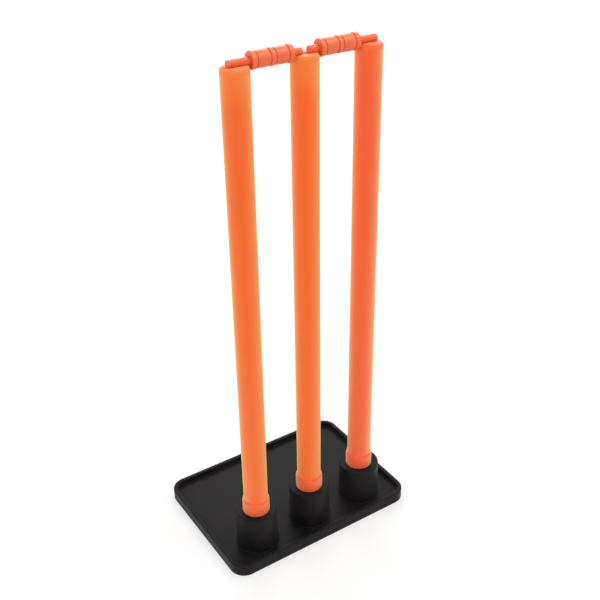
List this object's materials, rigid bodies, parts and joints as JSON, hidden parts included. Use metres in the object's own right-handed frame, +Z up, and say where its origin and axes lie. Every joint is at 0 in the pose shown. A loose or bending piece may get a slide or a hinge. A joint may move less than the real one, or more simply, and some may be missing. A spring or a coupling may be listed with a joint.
{
  "type": "cricket stumps",
  "caption": "Free-standing cricket wicket: round plastic stumps in the cups of a flat rimmed rubber base, with turned bails resting in grooves on their caps.",
  "frame": {"origin": "centre of the base's underside, on the ground", "axes": "+X along the row of stumps and the base's long side, +Y towards the wide empty part of the tray, +Z up the stumps"},
  "size_m": [0.316, 0.228, 0.7499],
  "materials": {
    "base_rubber": "matt moulded rubber",
    "stump_plastic": "satin extruded plastic",
    "foot_plastic": "satin moulded plastic",
    "cap_plastic": "satin moulded plastic",
    "bail_plastic": "semi-gloss moulded plastic"
  },
  "bodies": {
    "base": {"rubber_base": "base_rubber"},
    "stump_middle": {"stump_tube_middle": "stump_plastic", "stump_foot_middle": "foot_plastic", "stump_cap_middle": "cap_plastic"},
    "stump_left": {"stump_tube_left": "stump_plastic", "stump_foot_left": "foot_plastic", "stump_cap_left": "cap_plastic"},
    "stump_right": {"stump_tube_right": "stump_plastic", "stump_foot_right": "foot_plastic", "stump_cap_right": "cap_plastic"},
    "bail_left": {"bail_left": "bail_plastic"},
    "bail_right": {"bail_right": "bail_plastic"}
  },
  "joints": [
    {"name": "stump_middle_lift", "type": "slide", "parent": "base", "child": "stump_middle", "axis": [0, 0, 1], "range_m": [0, 0.08]},
    {"name": "stump_left_lift", "type": "slide", "parent": "base", "child": "stump_left", "axis": [0, 0, 1], "range_m": [0, 0.08]},
    {"name": "stump_right_lift", "type": "slide", "parent": "base", "child": "stump_right", "axis": [0, 0, 1], "range_m": [0, 0.08]},
    {"name": "bail_left_lift", "type": "slide", "parent": "stump_middle", "child": "bail_left", "axis": [0, 0, 1], "range_m": [0, 0.06]},
    {"name": "bail_right_lift", "type": "slide", "parent": "stump_middle", "child": "bail_right", "axis": [0, 0, 1], "range_m": [0, 0.06]}
  ],
  "couplings": [
    {"joint": "stump_left_lift", "follows": "stump_middle_lift", "ratio": 1},
    {"joint": "stump_right_lift", "follows": "stump_middle_lift", "ratio": 1}
  ]
}
